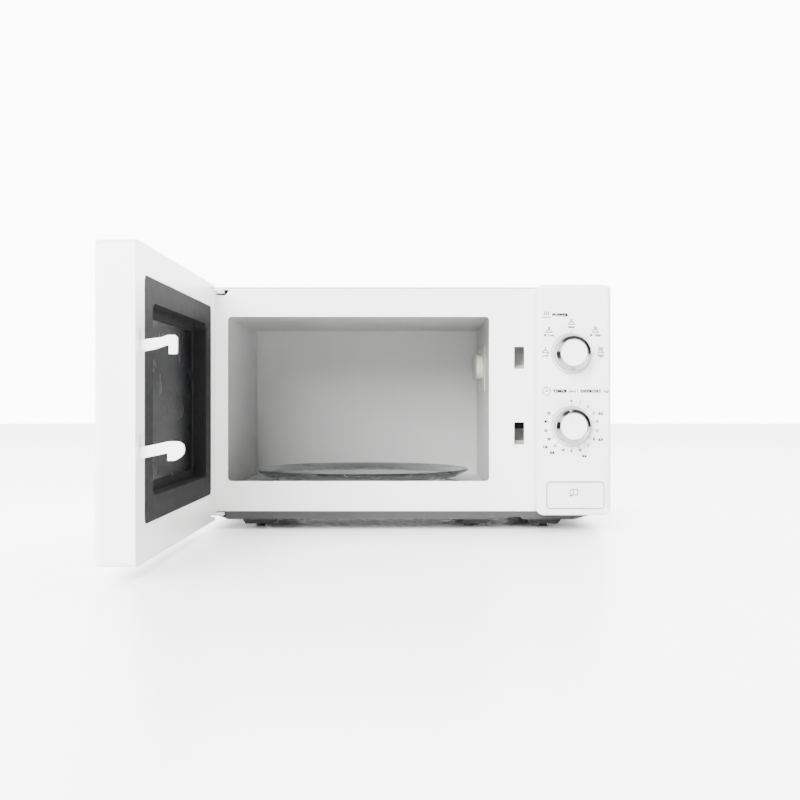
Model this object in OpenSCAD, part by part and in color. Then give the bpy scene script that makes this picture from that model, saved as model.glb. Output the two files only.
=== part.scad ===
// Counter-top microwave oven with a side-hung door, two dials and a push-button door release.
// Origin: on the surface that the oven stands on, under the middle of the cabinet.
// +X right, +Y back, +Z up, all sizes in millimetres. The door is drawn in its open, resting place.

/* [Overall] */
// Width of the cabinet
body_w = 440; // [400:1:530]
// Height from the surface to the top of the cabinet
body_h = 260; // [216:1:312]
// Depth of the cabinet behind the door
cabinet_d = 310; // [290:1:375]
// Height of the door's lower edge above the surface
door_low = 11; // [9:0.5:14]
// Height of the control panel's lower edge above the surface
panel_low = 17.5; // [15:0.5:20]
// Thickness of the steel sheet
sheet = 0.8; // [0.6:0.05:1]
// Angle at which the door stands open
door_open = 90; // [0:1:100]

/* [Cavity] */
// Gap between the cabinet's left side and the cavity
side_gap = 26; // [22:1:32]
// Width of the machine bay right of the cavity
bay_w = 122.6; // [118:0.2:147]
// Gap between the cavity's ceiling and the top of the cabinet
roof_gap = 29.5; // [25:0.5:35]
// Gap between the cavity's back wall and the rear panel
rear_gap = 18; // [15:0.5:24]
// Height of the cavity's floor above the surface
floor_h = 41; // [39:0.5:46]
// Depth of the round track that is pressed into the floor
track_dep = 6; // [4:0.5:7]
// How far the front plate covers the cavity's left side
lip_left = 7.5; // [6:0.1:9]
// How far the front plate covers the cavity's right side
lip_right = 3; // [2.5:0.1:5]
// How far the front plate stands up in front of the floor
lip_low = 10.5; // [8:0.5:12.5]
// How far the front plate hangs down in front of the ceiling
lip_top = 2.3; // [2:0.1:5]

/* [Door] */
// Thickness of the door
door_t = 32; // [29:0.5:39]
// Wall of the door's plastic frame
door_wall = 2.5; // [2:0.1:3]
// Gap between the closed door and the front plate
seal_gap = 0.6; // [0.4:0.1:1]
// Gap between the door and the control panel
door_gap = 1.5; // [1:0.1:2]
// Radius of the panel's corners, seen from the front
corner_r = 9; // [6:0.5:11]
// Radius of the door's corners, seen from the front
door_corner_r = 5.5; // [4:0.5:9]
// Rounding of the door's and the panel's front edges
edge_r = 5; // [3:0.1:7]
// White band at the sides and the top of the door's inside
band_w = 26; // [24:0.5:30]
// White band at the bottom of the door's inside
band_low = 29.5; // [26:0.5:34]
// Dark rim at the sides of the choke cover
rim_side = 29; // [27:0.5:34]
// Dark rim above and below the choke cover's recess
rim_end = 20; // [17:0.5:24]
// Depth of the choke cover's recess
recess_d = 12.4; // [11:0.1:14]
// Ledge round the window at the bottom of the recess
ledge_w = 8; // [6:0.5:10]
// Margin from the door's edge to the window in its front
window_margin = 44; // [42:1:50]
// Thickness of the window pane
pane_t = 3; // [2.5:0.1:3.6]

/* [Hinge] */
// Hinge axis, inwards from the left side
hinge_in = 6; // [5.5:0.1:7.2]
// Hinge axis, forwards from the front plate
hinge_out = 17; // [16.5:0.1:20]
// Radius of the hinge pins
pin_r = 2.5; // [2:0.1:3]
// Radial clearance of everything that turns
run_gap = 0.08; // [0.05:0.01:0.1]
// Thickness of the hinge plates
arm_t = 3; // [2.5:0.1:3.6]
// Skin of the door above and below the hinge plates
arm_skin = 4; // [3.5:0.1:5]

/* [Latch] */
// Width of the latch slots
slot_w = 10.8; // [9:0.1:12]
// Height of the latch slots
slot_h = 24; // [20:0.5:26]
// Thickness of the hooks
hook_t = 3.4; // [3:0.1:4]
// Upward travel of the hooks
latch_travel = 4; // [3:0.5:5]

/* [Control panel] */
// Width of the control panel
panel_w = 78.5; // [74:0.5:94]
// Wall of the control panel
panel_wall = 2.5; // [2:0.1:3]
// Diameter of a dial's bezel
bezel_d = 41.6; // [40:0.1:50]
// Diameter of a dial
knob_d = 35.6; // [29:0.1:37]
// How far a dial stands out of the panel
knob_h = 21; // [17:0.5:25]
// Diameter of a dial's shaft
shaft_d = 6; // [5:0.1:7]
// Width of the release button
button_w = 59; // [50:0.5:62]
// Height of the release button
button_h = 27; // [22.5:0.5:32]
// Gap round the release button
button_gap = 0.9; // [0.4:0.1:1]
// Travel of the release button
button_travel = 6; // [4:0.5:6]

/* [Turntable] */
// Diameter of the glass tray
tray_d = 255; // [212:1:262]
// Thickness of the glass
glass_t = 4; // [3.4:0.1:5]
// Height of the tray's rim above its underside
rim_h = 9; // [8:0.5:11]
// Radius of a roller
roller_r = 6.5; // [6:0.1:7.5]
// Width of a roller
roller_w = 6; // [5:0.1:8]
// Gap that keeps the rollers clear of the floor and the glass
roll_gap = 0.3; // [0.2:0.05:0.5]

/* [Feet] */
// Diameter of a foot
foot_d = 11; // [10:0.5:16]
// Height of a foot
foot_h = 3.4; // [3:0.1:4.5]
// Feet, inwards from the cabinet's sides
foot_in_x = 64; // [50:1:80]
// Feet, inwards from the front plate and the rear panel
foot_in_y = 38; // [30:1:50]

/* [Hidden] */
$fn = 64;

cut = 1; // how far a cutting shape runs past the face that it cuts
slack = 0.3; // assembly gap round a part that is clipped in
side_fold = 10; // width of a folded sheet edge

// Outside of the cabinet
x_left = -body_w / 2;
x_right = body_w / 2;
y_front = -cabinet_d / 2; // front face of the front plate
y_plate = y_front + sheet; // back face of the front plate
y_rear = cabinet_d / 2;
z_top = body_h;
plate_low = panel_low + 1.7; // lower edge of the front plate
base_z = foot_h + 7; // flat underside of the base plate
boss_z = foot_h; // underside of the base plate's bosses
recess_lift = 2.5; // height of the raised trough under the transformer
side_lift = 9; // height that the base plate's sloped sides gain
base_flat = x_right - 34; // half width of the base plate's flat bottom
side_x0 = x_left + sheet; // inner faces of the cover
side_x1 = x_right - sheet;
roof_z = z_top - sheet;

// Inside of the cavity
cav_x0 = x_left + side_gap;
cav_x1 = x_right - bay_w;
cav_y1 = y_rear - rear_gap;
cav_z0 = floor_h;
cav_z1 = z_top - roof_gap;
cav_xm = (cav_x0 + cav_x1) / 2;
cav_ym = (y_plate + cav_y1) / 2;
track_z = cav_z0 - track_dep;
track_r = tray_d / 2 - 9;

// Mouth of the cavity in the front plate
mouth_x0 = cav_x0 + lip_left;
mouth_x1 = cav_x1 - lip_right;
mouth_z0 = cav_z0 + lip_low;
mouth_z1 = cav_z1 - lip_top;
mouth_r = 4;

// Control panel and closed door
face_y = y_front - door_t;
panel_x0 = x_right - panel_w;
door_x1 = panel_x0 - door_gap;
door_y1 = y_front - seal_gap; // inner face of the door
door_z0 = door_low;
door_z1 = z_top;
door_h = door_z1 - door_z0;
hinge_x = x_left + hinge_in;
hinge_y = y_front - hinge_out;
strip_x = x_left + 17; // the door frame is solid left of this, along the hinge
void_y0 = face_y + door_wall; // hollow of the door
void_y1 = door_y1 - door_wall;

// Choke cover and its recess
choke_x0 = x_left + 30;
choke_x1 = door_x1 - 30;
choke_z0 = door_z0 + band_low;
choke_z1 = door_z1 - band_w + 2;
rec_x0 = choke_x0 + rim_side;
rec_x1 = choke_x1 - rim_side;
rec_z0 = choke_z0 + rim_end;
rec_z1 = choke_z1 - rim_end;
rec_y = door_y1 - recess_d; // bottom of the recess
choke_t = 2;
film_t = 1;
film_y = rec_y - choke_t; // back of the choke cover's ledge
panel_y = film_y - film_t; // steel door panel
rec_r = 8;

// Hinge plates
arm_z1 = door_z1 - arm_skin - arm_t; // underside of the upper plate
arm_z0 = door_z0 + arm_skin; // underside of the lower plate
arm_r = 5;
hinge_wide = hinge_x + 24; // a hinge plate is wider where it leaves the cabinet
arm_air = 0.6; // free height over and under a hinge plate
pin_l = 14;

// Latch
latch_x = door_x1 - 14.4; // middle of the hooks
slot_xm = latch_x + 1;
latch_zu = door_z0 + 0.695 * door_h; // middle of the upper slot
latch_zl = door_z0 + 0.372 * door_h; // middle of the lower slot
hook_out_u = 29; // how far the upper hook stands out of the door
hook_out_l = 34.5;
nose_u = hook_out_u - 6.5; // near faces of the two noses
nose_l = hook_out_l - 13;
nose_low_u = 10.9; // how far the noses hang under the middle of their slots
nose_low_l = 12.2;
hold = 3.5; // how much of a nose is behind its shelf
bar_y0 = void_y1 - 12; // bar that joins the hooks, inside the door
bar_y1 = void_y1 - 1;
bar_back = door_y1 - bar_y1 + 1;
bar_z0 = latch_zl - 18;
bar_z1 = latch_zu + 22;

// Latch board and release lever, behind the front plate
board_x0 = slot_xm - 13.6;
board_x1 = slot_xm + 14.4;
board_y1 = y_front + 38;
board_wall = 2.5;
lever_y = y_front + 9; // pivot of the release lever
lever_z = latch_zl - 23.5;
lever_x0 = latch_x - 4;
lever_x1 = latch_x + 4;
lever_r = 2.5;
push_z0 = lever_z - 24; // where the button's arm pushes the lever
push_z1 = lever_z - 16;

// Dials and button
dial_x = x_right - 41.6;
power_z = panel_low + 0.7 * (z_top - panel_low);
timer_z = panel_low + 0.386 * (z_top - panel_low);
button_x = x_right - 37.4;
button_z0 = panel_low + 7.7;
button_z1 = button_z0 + button_h;
button_zm = (button_z0 + button_z1) / 2;
button_y1 = face_y + 17; // back of the push button
unit_y0 = y_plate + 1.2; // front of the timer unit
unit_y1 = unit_y0 + 36;
unit_w = 50;
knob_base = 1.5; // gap between a dial and the panel
knob_y0 = face_y - knob_h;
knob_y1 = face_y - knob_base;

// Machine bay
bay_x0 = cav_x1 + sheet;
lamp_y = y_front + 56;
wave_z = cav_z1 - 55; // middle of the waveguide
wave_x1 = bay_x0 + 22;
mag_y = 35; // axis of the magnetron
fan_x = (bay_x0 + side_x1) / 2;
fan_z = z_top - 75;
fan_r = 41;

// Turntable
tray_z = track_z + 2 * roller_r + 2 * roll_gap; // underside of the glass
ring_r = track_r - 14; // middle of the rollers' track
roller_z = track_z + roll_gap + roller_r;

// ---------------------------------------------------------------- helpers

// A block between two corners
module block(x0, x1, y0, y1, z0, z1) {
    translate([x0, y0, z0]) cube([x1 - x0, y1 - y0, z1 - z0]);
}

// A flat rectangle with round corners
module round_rect(a0, b0, a1, b1, r) {
    translate([a0 + r, b0]) square([a1 - a0 - 2 * r, b1 - b0]);
    translate([a0, b0 + r]) square([a1 - a0, b1 - b0 - 2 * r]);
    for (a = [a0 + r, a1 - r], b = [b0 + r, b1 - r]) translate([a, b]) circle(r = r);
}

// A plate that faces the front, between two depths, with round corners
module plate_y(x0, x1, z0, z1, y0, y1, r) {
    translate([0, y1, 0]) rotate([90, 0, 0]) linear_extrude(height = y1 - y0) round_rect(x0, z0, x1, z1, r);
}

// A plate that faces up
module plate_z(x0, x1, y0, y1, z0, z1, r) {
    translate([0, 0, z0]) linear_extrude(height = z1 - z0) round_rect(x0, y0, x1, y1, r);
}

// A slab with round corners and rounded front edges: its back edges stay sharp
module soft_slab(x0, x1, z0, z1, y0, y1, r, e) {
    intersection() {
        plate_y(x0, x1, z0, z1, y0, y1, r);
        plate_z(x0, x1, y0, y1 + 2 * e, z0 - cut, z1 + cut, e);
        translate([x0 - cut, 0, 0]) rotate([90, 0, 90]) linear_extrude(height = x1 - x0 + 2 * cut)
            round_rect(y0, z0, y1 + 2 * e, z1, e);
    }
}

// Round bars along the three axes
module rod_x(y, z, x0, x1, r) { translate([x0, y, z]) rotate([0, 90, 0]) cylinder(h = x1 - x0, r = r); }
module rod_y(x, z, y0, y1, r) { translate([x, y0, z]) rotate([-90, 0, 0]) cylinder(h = y1 - y0, r = r); }
module rod_z(x, y, z0, z1, r) { translate([x, y, z0]) cylinder(h = z1 - z0, r = r); }

// Swings a part of the closed door to its resting place
module swung() {
    translate([hinge_x, hinge_y, 0]) rotate([0, 0, -door_open]) translate([-hinge_x, -hinge_y, 0]) children();
}

// A close stack of round wire turns along Z, joined by one straight wire
module wire_stack(x, y, z0, z1, r, wire, turns) {
    for (i = [0 : turns - 1])
        translate([x, y, z0 + wire + (z1 - z0 - 2 * wire) * i / (turns - 1)])
            rotate_extrude() translate([r, 0]) circle(r = wire, $fn = 16);
    rod_z(x + r, y, z0 + wire, z1 - wire, wire * 0.7);
}

// ---------------------------------------------------------------- cabinet

// Cross-section of the base plate's outside, up to a given height
module base_section(top) {
    polygon([[side_x0, top], [side_x0, base_z + side_lift], [-base_flat, base_z], [base_flat, base_z],
        [side_x1, base_z + side_lift], [side_x1, top]]);
}

// A long pressed-in trough or boss of the base plate, with sloped sides
module pressing(xm, half, y0, y1, low, high, grow) {
    translate([xm, y1, 0]) rotate([90, 0, 0]) linear_extrude(height = y1 - y0)
        polygon([[-half - grow, high], [-half, low], [half, low], [half + grow, high]]);
}

module base_plate() {
    slope = 5;
    boss = 15; // half width of a foot's boss
    front_z = plate_low + 4;
    side_z = base_z + 20;
    rib_x = cav_x1 - 16.5;
    rib_half = 12;
    pan_x = cav_x1 + 15.5;
    pan_half = 16;
    feet_x = [x_left + foot_in_x, x_right - foot_in_x];
    feet_y = [y_front + foot_in_y, y_rear - foot_in_y];
    color([0.55, 0.56, 0.57]) difference() {
        union() {
            difference() {
                translate([0, y_rear - sheet, 0]) rotate([90, 0, 0])
                    linear_extrude(height = y_rear - sheet - y_plate) base_section(side_z);
                translate([0, y_rear - 2 * sheet, 0]) rotate([90, 0, 0])
                    linear_extrude(height = y_rear - 3 * sheet - y_plate)
                    polygon([[side_x0 + sheet, side_z + cut], [side_x0 + sheet, base_z + side_lift + sheet],
                        [-base_flat, base_z + sheet], [base_flat, base_z + sheet],
                        [side_x1 - sheet, base_z + side_lift + sheet], [side_x1 - sheet, side_z + cut]]);
                // front and rear folds are lower than the side folds
                block(side_x0 + sheet, side_x1 - sheet, y_plate - cut, y_rear, front_z, side_z + cut);
            }
            for (x = feet_x, y = feet_y) pressing(x, boss, y - boss, y + boss, boss_z, base_z + sheet / 2, slope);
            pressing(rib_x, rib_half, feet_y[0] - boss, feet_y[1] + boss, boss_z, base_z + sheet / 2, slope);
            pressing(pan_x, pan_half, y_plate, feet_y[1] + boss, base_z + sheet + recess_lift, base_z,
                slope - recess_lift);
        }
        for (x = feet_x, y = feet_y)
            pressing(x, boss - sheet, y - boss + sheet, y + boss - sheet, boss_z + sheet, base_z + sheet + cut, slope);
        pressing(rib_x, rib_half - sheet, feet_y[0] - boss + sheet, feet_y[1] + boss - sheet, boss_z + sheet,
            base_z + sheet + cut, slope);
        pressing(pan_x, pan_half - sheet, y_plate - cut, feet_y[1] + boss - sheet, base_z + recess_lift,
            base_z - cut, slope - recess_lift);
        // room for the lower hinge
        block(side_x0 - cut, hinge_wide + 1, y_plate - cut, y_plate + arm_t + cut, base_z - cut, side_z + cut);
        for (i = [0 : 5], j = [0 : 2])
            plate_z(cav_x0 + 20 + 12 * i, cav_x0 + 24 + 12 * i, y_front + 75 + 40 * j, y_front + 103 + 40 * j,
                base_z - cut, base_z + sheet + cut, 1.9);
    }
}

module feet() {
    color([0.12, 0.12, 0.12])
    for (x = [x_left + foot_in_x, x_right - foot_in_x], y = [y_front + foot_in_y, y_rear - foot_in_y])
        translate([x, y, 0]) cylinder(h = foot_h, r1 = foot_d / 2 - 0.6, r2 = foot_d / 2);
}

module front_plate() {
    shaft_hole = shaft_d / 2 + 1.2;
    color([0.93, 0.93, 0.92]) difference() {
        block(side_x0, side_x1, y_front, y_plate, plate_low, roof_z - 0.6);
        plate_y(mouth_x0, mouth_x1, mouth_z0, mouth_z1, y_front - cut, y_plate + cut, mouth_r);
        for (z = [latch_zl - 0.8, latch_zu])
            block(slot_xm - slot_w / 2, slot_xm + slot_w / 2, y_front - cut, y_plate + cut,
                z - slot_h / 2, z + slot_h / 2);
        for (z = [arm_z1 - 1.6, arm_z0 - 2])
            translate([0, y_plate + cut, 0]) rotate([90, 0, 0]) linear_extrude(height = sheet + 2 * cut)
                polygon([[side_x0 - cut, z], [hinge_wide + 1, z], [hinge_wide + 5, z + arm_t + 2.6],
                    [side_x0 - cut, z + arm_t + 2.6]]);
        for (z = [power_z, timer_z]) rod_y(dial_x, z, y_front - cut, y_plate + cut, shaft_hole);
        block(button_x - 26, button_x + 26, y_front - cut, y_plate + cut, button_z0, push_z1 + 8);
    }
}

module cavity_wrap() {
    color([0.72, 0.72, 0.71]) difference() {
        block(cav_x0 - sheet, bay_x0, y_plate, cav_y1, cav_z0, cav_z1 + sheet);
        block(cav_x0, cav_x1, y_plate - cut, cav_y1 + cut, cav_z0 - cut, cav_z1);
        // mouth of the waveguide
        block(cav_x1 - cut, bay_x0 + cut, -25, 60, wave_z - 20, wave_z + 20);
        // air holes in front of the lamp
        for (j = [-1 : 1], z = [-19.5, -11.5, 11.5, 19.5])
            rod_x(lamp_y + 6 * j, power_z + z, cav_x1 - cut, bay_x0 + cut, 1.3);
        // exhaust holes in the ceiling
        for (i = [0 : 7], j = [0 : 2])
            rod_z(cav_x0 + 24 + 7 * i, cav_y1 - 20 - 7 * j, cav_z1 - cut, cav_z1 + sheet + cut, 1.5);
    }
}

module cavity_floor() {
    hole = 4.5;
    color([0.72, 0.72, 0.71]) difference() {
        union() {
            block(cav_x0 - sheet, bay_x0, y_plate, cav_y1, cav_z0 - sheet, cav_z0);
            rod_z(cav_xm, cav_ym, track_z - sheet, cav_z0, track_r + sheet);
        }
        rod_z(cav_xm, cav_ym, track_z, cav_z0 + cut, track_r);
        rod_z(cav_xm, cav_ym, track_z - sheet - cut, track_z + cut, hole);
    }
}

module cavity_back() {
    color([0.72, 0.72, 0.71])
        block(cav_x0 - sheet, bay_x0, cav_y1, cav_y1 + sheet, cav_z0 - sheet, cav_z1 + sheet);
}

module cabinet_cover() {
    cover_low = plate_low;
    color([0.94, 0.94, 0.93]) difference() {
        union() {
            block(x_left, x_right, y_front, y_rear - sheet, cover_low, z_top);
        }
        block(side_x0, side_x1, y_front - cut, y_rear, cover_low - cut, roof_z);
        // air slots low on the left side, and high on the right side in front of the fan
        for (i = [0 : 9]) {
            block(x_left - cut, side_x0 + cut, y_rear - 30 - 9 * i, y_rear - 26.5 - 9 * i, cover_low + 30,
                cover_low + 54);
            block(side_x1 - cut, x_right + cut, y_front + 40 + 9 * i, y_front + 43.5 + 9 * i, fan_z - 20,
                fan_z + 12);
        }
    }
}

module rear_panel() {
    color([0.75, 0.76, 0.76]) difference() {
        block(side_x0, side_x1, y_rear - sheet, y_rear, plate_low, roof_z);
        // round air grille in front of the fan
        for (i = [-3 : 3], k = [-3 : 3])
            if (i * i + k * k < 12)
                block(fan_x + 11 * i - 4, fan_x + 11 * i + 4, y_rear - sheet - cut, y_rear + cut,
                    fan_z + 11 * k - 2.5, fan_z + 11 * k + 2.5);
        // exhaust slots behind the cavity
        for (i = [0 : 9])
            block(cav_x0 + 20 + 8 * i, cav_x0 + 23.5 + 8 * i, y_rear - sheet - cut, y_rear + cut,
                cav_z1 - 45, cav_z1 - 15);
        rod_y(x_right - 30, base_z + 30, y_rear - sheet - cut, y_rear + cut, 6);
    }
}

module rear_screws() {
    color([0.6, 0.6, 0.62])
    for (x = [x_left + 14, 0, x_right - 14], z = [plate_low + 8, roof_z - 8])
        translate([x, y_rear, z]) rotate([-90, 0, 0]) difference() {
            cylinder(h = 2, r = 3.6);
            translate([-0.5, -2.5, 1]) cube([1, 5, 2]);
            translate([-2.5, -0.5, 1]) cube([5, 1, 2]);
        }
}

module cord_gland() {
    x = x_right - 30;
    z = base_z + 30;
    color([0.15, 0.15, 0.15]) difference() {
        union() {
            rod_y(x, z, y_rear, y_rear + 6, 9);
            rod_y(x, z, y_rear - sheet - 5, y_rear + 1, 5.6);
            rod_y(x, z, y_rear - sheet - 5, y_rear - sheet, 8);
        }
        rod_y(x, z, y_rear - 20, y_rear + 8, 3.6);
    }
}

// ---------------------------------------------------------------- hinges

// A hinge plate: a foot behind the front plate, an arm and a pin
module hinge_plate(arm, foot_z0, foot_z1, pin_z0, pin_z1) {
    foot_x1 = hinge_x + 15;
    color([0.92, 0.92, 0.91]) union() {
        block(side_x0, foot_x1, y_plate, y_plate + arm_t, foot_z0, foot_z1);
        block(hinge_x - arm_r, hinge_x + arm_r, hinge_y, y_plate + cut, arm, arm + arm_t);
        block(hinge_x + arm_r - cut, hinge_wide - 6, hinge_y + 9, y_plate + cut, arm, arm + arm_t);
        block(hinge_wide - 7, hinge_wide, hinge_y + 15, y_plate + cut, arm, arm + arm_t);
        rod_z(hinge_wide - 6, hinge_y + 15, arm, arm + arm_t, 6);
        rod_z(hinge_x, hinge_y, arm, arm + arm_t, arm_r);
        rod_z(hinge_x, hinge_y, pin_z0, pin_z1, pin_r);
    }
}

module hinge_upper() {
    hinge_plate(arm_z1, arm_z1 - 28, arm_z1 + arm_t, arm_z1 - pin_l, arm_z1 + cut);
}

module hinge_lower() {
    hinge_plate(arm_z0, arm_z0, arm_z0 + arm_t + 28, arm_z0 + arm_t - cut, arm_z0 + arm_t + pin_l);
}

module hinge_screws() {
    head_y = y_plate + arm_t;
    color([0.6, 0.6, 0.62])
    for (z = [arm_z1 - 20, arm_z1 - 8, arm_z0 + arm_t + 12, arm_z0 + arm_t + 22]) difference() {
        rod_y(hinge_x + 8, z, head_y, head_y + 2.2, 3.5);
        block(hinge_x + 5.5, hinge_x + 10.5, head_y + 1.2, head_y + 4, z - 0.5, z + 0.5);
    }
}

// ---------------------------------------------------------------- door, drawn closed and swung open

module door_frame() {
    bore = pin_r + run_gap;
    notch_r = 7;
    slot_x = hook_t / 2 + 1;
    color([0.95, 0.95, 0.94]) swung() difference() {
        soft_slab(x_left, door_x1, door_z0, door_z1, face_y, door_y1, door_corner_r, edge_r);
        block(strip_x, door_x1 - door_wall, void_y0, void_y1, door_z0 + door_wall, door_z1 - door_wall);
        plate_y(choke_x0, choke_x1, choke_z0, choke_z1, void_y1 - cut, door_y1 + cut, 6);
        plate_y(x_left + window_margin, door_x1 - window_margin, door_z0 + window_margin,
            door_z1 - window_margin, face_y - cut, void_y0 + cut, 10);
        // notches for the hinge plates, open towards the cabinet and the hinge side
        for (z = [arm_z1, arm_z0])
            for (n = [[hinge_x + notch_r, hinge_y - notch_r], [hinge_wide + 1.5, hinge_y + 7]])
                block(x_left - cut, n[0], n[1], door_y1 + cut, z - arm_air, z + arm_t + arm_air);
        rod_z(hinge_x, hinge_y, arm_z1 - pin_l - arm_air, arm_z1, bore);
        rod_z(hinge_x, hinge_y, arm_z0, arm_z0 + arm_t + pin_l + arm_air, bore);
        // rounded hinge-side edge, so that the door clears the front plate
        difference() {
            block(x_left - cut, x_left + 5, door_y1 - 5, door_y1 + cut, door_z0 - cut, door_z1 + cut);
            rod_z(x_left + 5, door_y1 - 5, door_z0 - 2 * cut, door_z1 + 2 * cut, 5);
        }
        // slots for the hooks
        block(latch_x - slot_x, latch_x + slot_x, void_y1 - cut, door_y1 + cut, latch_zu - 11.6, latch_zu + 9.6);
        block(latch_x - slot_x, latch_x + slot_x, void_y1 - cut, door_y1 + cut, latch_zl - 13, latch_zl + 8);
    }
    // posts that carry the steel panel, and a shelf over the latch spring
    color([0.95, 0.95, 0.94]) swung() {
        for (x = [choke_x0 - 4, choke_x1 - 6], z = [choke_z0 + 6, (choke_z0 + choke_z1) / 2, choke_z1 - 6])
            rod_y(x, z, void_y0 - cut, panel_y - sheet, 4);
        block(latch_x - 6, door_x1 - door_wall + cut, void_y0 - cut, void_y1 + cut, bar_z1 + 14, bar_z1 + 16.5);
    }
}

module door_window() {
    over = 3.5;
    color([0.1, 0.1, 0.11, 0.6]) swung()
        plate_y(x_left + window_margin - over, door_x1 - window_margin + over, door_z0 + window_margin - over,
            door_z1 - window_margin + over, void_y0, void_y0 + pane_t, 10 + over);
}

module door_panel() {
    inset = 7;
    color([0.7, 0.7, 0.7]) swung() difference() {
        plate_y(choke_x0 - 9, choke_x1 - 1, choke_z0 + 1, choke_z1 - 1, panel_y - sheet, panel_y, 3);
        plate_y(rec_x0 + ledge_w - 1, rec_x1 - ledge_w + 1, rec_z0 + ledge_w - 1, rec_z1 - ledge_w + 1,
            panel_y - sheet - cut, panel_y + cut, inset);
    }
}

module door_screen() {
    over = 5;
    color([0.35, 0.35, 0.35]) swung()
        plate_y(rec_x0 + ledge_w - over, rec_x1 - ledge_w + over, rec_z0 + ledge_w - over,
            rec_z1 - ledge_w + over, panel_y - sheet - 0.5, panel_y - sheet, 4);
}

module inner_film() {
    over = 3;
    color([0.25, 0.26, 0.27, 0.5]) swung()
        plate_y(rec_x0 + ledge_w - over, rec_x1 - ledge_w + over, rec_z0 + ledge_w - over,
            rec_z1 - ledge_w + over, panel_y, film_y, 4);
}

module choke_cover() {
    color([0.33, 0.33, 0.34]) swung() difference() {
        union() {
            plate_y(choke_x0 + slack, choke_x1 - slack, choke_z0 + slack, choke_z1 - slack,
                void_y1, door_y1, 6 - slack);
            plate_y(rec_x0 - choke_t, rec_x1 + choke_t, rec_z0 - choke_t, rec_z1 + choke_t,
                film_y, door_y1 - cut, rec_r + choke_t);
        }
        plate_y(rec_x0, rec_x1, rec_z0, rec_z1, rec_y, door_y1 + cut, rec_r);
        plate_y(rec_x0 + ledge_w, rec_x1 - ledge_w, rec_z0 + ledge_w, rec_z1 - ledge_w,
            film_y - cut, door_y1 + cut, 6);
    }
}

module choke_channel() {
    in = 4; // from the choke cover's edge to the channel's wall
    flange = 9;
    tooth = 14;
    nx = floor((choke_x1 - choke_x0 - 40) / tooth);
    nz = floor((choke_z1 - choke_z0 - 40) / tooth);
    color([0.7, 0.7, 0.7]) swung() difference() {
        plate_y(choke_x0 + in, choke_x1 - in, choke_z0 + in, choke_z1 - in, panel_y, void_y1, 3);
        plate_y(choke_x0 + in + sheet, choke_x1 - in - sheet, choke_z0 + in + sheet, choke_z1 - in - sheet,
            panel_y - cut, void_y1 - sheet, 3);
        plate_y(choke_x0 + in + flange, choke_x1 - in - flange, choke_z0 + in + flange,
            choke_z1 - in - flange, panel_y - cut, void_y1 + cut, 3);
        for (i = [0 : nx], z = [choke_z0 + in + 3, choke_z1 - in - flange - cut])
            block(choke_x0 + 20 + tooth * i, choke_x0 + 24 + tooth * i, void_y1 - sheet - cut, void_y1 + cut,
                z, z + flange - 2);
        for (i = [0 : nz], x = [choke_x0 + in + 3, choke_x1 - in - flange - cut])
            block(x, x + flange - 2, void_y1 - sheet - cut, void_y1 + cut,
                choke_z0 + 20 + tooth * i, choke_z0 + 24 + tooth * i);
    }
}

// Side outlines of the hooks, as (distance out of the door, height) points round the middle of a slot
hook_u = [[-bar_back, -9.4], [0, -9.4], [12, -7.2], [nose_u, -3.6], [nose_u, -nose_low_u], [hook_out_u - 0.8, -nose_low_u],
    [hook_out_u, -nose_low_u + 1], [hook_out_u, 1.6], [hook_out_u - 2, 3.7], [nose_u - 1, 3.7], [17, 1.9],
    [0, -0.2], [-bar_back, -0.2]];
hook_l = [[-bar_back, -10.9], [0, -10.9], [nose_l, -6.4], [nose_l, -nose_low_l], [nose_l + 5.5, -nose_low_l],
    [hook_out_l - 3.4, -9.8], [hook_out_l - 0.7, -7], [hook_out_l, -3.4], [hook_out_l - 0.7, 0],
    [hook_out_l - 3.2, 2], [hook_out_l - 6, 2.6], [nose_l, 2.5], [17, 1.3], [0, -2.1], [-bar_back, -2.1]];

module latch_hooks() {
    color([0.95, 0.95, 0.94]) swung() {
        block(latch_x - hook_t / 2, latch_x + hook_t / 2, bar_y0, bar_y1, bar_z0, bar_z1);
        translate([latch_x - hook_t / 2, door_y1, latch_zu]) rotate([90, 0, 90]) linear_extrude(height = hook_t)
            polygon(hook_u);
        translate([latch_x - hook_t / 2, door_y1, latch_zl]) rotate([90, 0, 90]) linear_extrude(height = hook_t)
            polygon(hook_l);
    }
}

module latch_spring() {
    color([0.7, 0.7, 0.72]) swung()
        wire_stack(latch_x, (bar_y0 + bar_y1) / 2, bar_z1, bar_z1 + 14, 3, 0.5, 6);
}

// ---------------------------------------------------------------- latch board and door release

module latch_board() {
    shelf_u = door_y1 + nose_u - 1; // back faces of the shelves
    shelf_l = door_y1 + nose_l - 1;
    top_u = latch_zu - nose_low_u + hold;
    top_l = latch_zl - nose_low_l + hold;
    z0 = lever_z - 8;
    z1 = latch_zu + 18;
    color([0.9, 0.9, 0.88]) difference() {
        union() {
            for (x = [board_x0, board_x1 - board_wall])
                block(x, x + board_wall, y_plate, board_y1, z0, z1);
            block(board_x0, board_x1, board_y1 - board_wall, board_y1, z0, z1);
            block(board_x0, board_x1, y_plate, board_y1, z1 - board_wall, z1);
            block(board_x0, board_x1, y_plate + 1.5, shelf_u, top_u - 8, top_u - 3);
            block(board_x0, board_x1, shelf_u - 6, shelf_u, top_u - 8, top_u);
            block(board_x0, board_x1, y_plate + 1.5, shelf_l, top_l - 8, top_l - 3.7);
            block(board_x0, board_x1, shelf_l - 7.5, shelf_l, top_l - 8, top_l);
        }
        rod_x(lever_y, lever_z, board_x0 - cut, board_x1 + cut, lever_r + run_gap);
    }
}

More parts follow.
